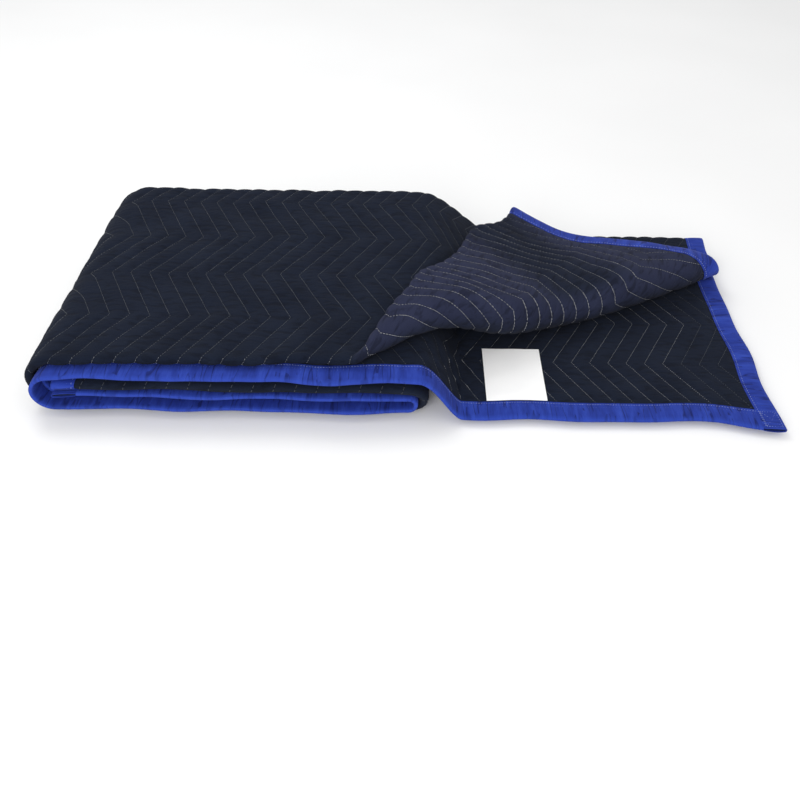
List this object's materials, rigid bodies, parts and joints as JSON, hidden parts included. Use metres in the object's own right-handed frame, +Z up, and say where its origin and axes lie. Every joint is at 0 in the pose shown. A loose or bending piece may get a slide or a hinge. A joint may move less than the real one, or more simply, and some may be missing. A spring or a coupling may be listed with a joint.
{
  "type": "moving blanket",
  "caption": "Quilted moving blanket with bound edges, folded in layers on the left, its loose end spread flat to the right with one corner turned back.",
  "frame": {"origin": "middle of the bounding box's bottom, on the surface that the blanket rests on", "axes": "+X towards the loose end that is spread out, +Y towards the folds at the back, +Z up"},
  "size_m": [1.0386, 0.4858, 0.1319],
  "materials": {
    "quilted_cloth": "matt woven cotton and polyester quilting with whitish zigzag stitching",
    "blue_binding": "soft non-woven edge tape, royal blue",
    "white_label": "satin white sewn-in cloth label, blank"
  },
  "bodies": {
    "root": {"quilted_panel": "quilted_cloth", "front_edge_binding": "blue_binding", "lower_edge_binding": "blue_binding", "loose_end_binding": "blue_binding", "inner_end_binding": "blue_binding", "label": "white_label"}
  },
  "joints": []
}
